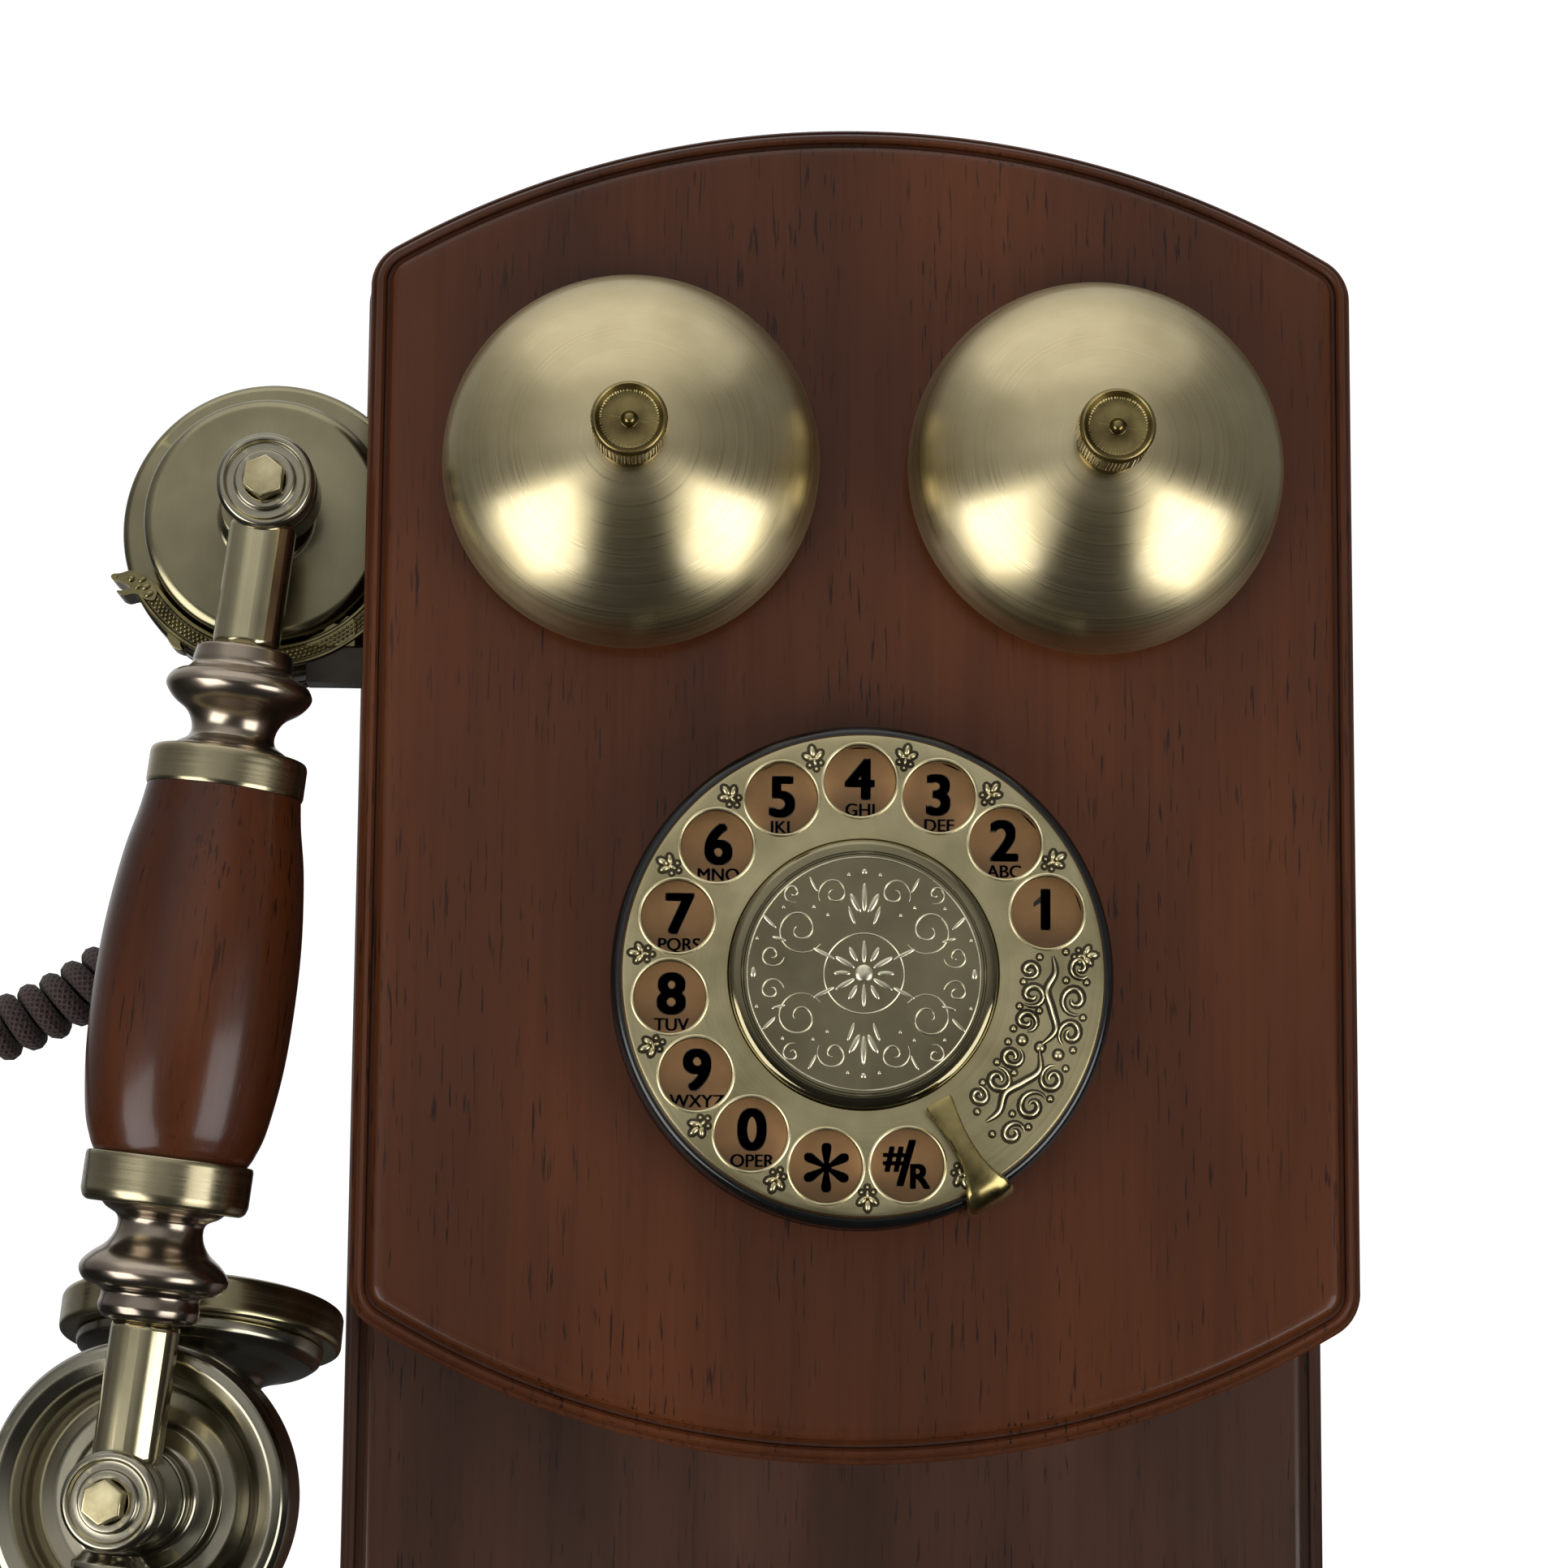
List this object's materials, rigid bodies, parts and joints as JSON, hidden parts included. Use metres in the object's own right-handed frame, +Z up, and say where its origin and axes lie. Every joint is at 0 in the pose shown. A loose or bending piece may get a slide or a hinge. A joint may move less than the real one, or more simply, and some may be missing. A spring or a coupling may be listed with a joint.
{
  "type": "rotary telephone",
  "caption": "Wall telephone: arched wooden case with gong bells and a finger-wheel dial, a handset hanging on a hook at its left side, and a curled cord.",
  "frame": {"origin": "the wall plane (back face of the back board), straight behind the dial's axis", "axes": "+Z up; the front faces -Y, so +Y points into the wall; +X is to the right seen from the front"},
  "size_m": [0.3054, 0.1302, 0.3399],
  "materials": {
    "case_wood": "satin lacquer",
    "board_wood": "satin lacquer",
    "panel_wood": "semi-gloss lacquer",
    "grip_wood": "gloss lacquer",
    "bell_brass": "brushed, lacquered",
    "steel": "plain",
    "dial_brass": "antiqued, satin",
    "hammer_brass": "turned",
    "copper_coil": "enamelled winding",
    "ring_black": "gloss",
    "number_card": "satin",
    "black_plastic": "matte",
    "circuit": "satin",
    "cord_fabric": "braided",
    "handset_bronze": "dark antiqued, polished",
    "cradle_brass": "antiqued relief"
  },
  "bodies": {
    "case": {"back_board": "board_wood", "hanger_plates": "steel", "case_left_side": "case_wood", "case_right_side": "case_wood", "case_top": "case_wood", "case_bottom": "case_wood", "front_panel": "panel_wood", "left_bell": "bell_brass", "right_bell": "bell_brass", "bell_posts": "steel", "bell_nuts": "bell_brass", "ringer_coils": "copper_coil", "ringer_cores": "steel", "ringer_frame": "steel", "hammer_bracket": "steel", "dial_base_ring": "ring_black", "number_plate": "number_card", "finger_stop": "dial_brass", "dial_plate": "steel", "dial_bridge": "steel", "dial_pillars": "steel", "spring_barrel": "hammer_brass", "governor_housing": "black_plastic", "pulse_contacts": "black_plastic", "hook_pin": "steel", "hook_bracket": "steel", "hook_switch": "black_plastic", "circuit_board": "circuit", "circuit_standoffs": "black_plastic", "line_jack": "black_plastic", "cord_gland": "black_plastic", "handset_cord": "cord_fabric"},
    "dial": {"finger_wheel": "dial_brass", "centre_disc": "dial_brass", "dial_shaft": "steel", "main_gear": "hammer_brass", "pulse_cam": "black_plastic"},
    "governor": {"governor_rotor": "hammer_brass"},
    "hammer": {"hammer_arm": "steel", "hammer_heads": "hammer_brass", "ringer_shaft": "steel", "ringer_armature": "steel"},
    "hook": {"hook_lever": "steel", "cradle_band": "cradle_brass"},
    "plunger": {"switch_plunger": "black_plastic"},
    "handset": {"handset_grip": "grip_wood", "handset_ferrule_up": "handset_bronze", "handset_ferrule_down": "handset_bronze", "handset_rod": "steel", "receiver_arm": "handset_bronze", "transmitter_arm": "handset_bronze", "handset_bolts": "handset_bronze", "receiver_cup_shell": "handset_bronze", "receiver_cup_cap": "handset_bronze", "receiver_capsule": "black_plastic", "transmitter_drum": "handset_bronze", "mouthpiece_horn": "handset_bronze", "mouthpiece_flange": "handset_bronze", "mouthpiece_grille": "handset_bronze", "strain_relief": "black_plastic"}
  },
  "joints": [
    {"name": "dial_turn", "type": "hinge", "parent": "case", "child": "dial", "pos_m": [0, -0.09, 0], "axis": [0, 1, 0], "range_deg": [0, 338], "stiffness_Nm_per_rad": 0.01, "springref_deg": -28.65},
    {"name": "governor_spin", "type": "hinge", "parent": "case", "child": "governor", "pos_m": [-0.01973, -0.065, -0.01973], "axis": [0, 1, 0], "range_deg": [-2260, 0]},
    {"name": "hammer_rock", "type": "hinge", "parent": "case", "child": "hammer", "pos_m": [0, -0.06, 0.058], "axis": [0, 1, 0], "range_deg": [-2.4, 2.4], "stiffness_Nm_per_rad": 0.02},
    {"name": "handset_lift", "type": "slide", "parent": "case", "child": "handset", "axis": [0, 0, 1], "range_m": [0, 0.045]},
    {"name": "hook_rise", "type": "hinge", "parent": "case", "child": "hook", "pos_m": [-0.056, -0.058, 0.0575], "axis": [0, 1, 0], "range_deg": [0, 6]},
    {"name": "switch_travel", "type": "slide", "parent": "case", "child": "plunger", "axis": [0, 0, 1], "range_m": [-0.0015, 0]}
  ],
  "couplings": [
    {"joint": "governor_spin", "follows": "dial_turn", "ratio": -6.6667},
    {"joint": "hook_rise", "follows": "handset_lift", "rad_per_m": 2.3},
    {"joint": "switch_travel", "follows": "handset_lift", "ratio": -0.03}
  ]
}
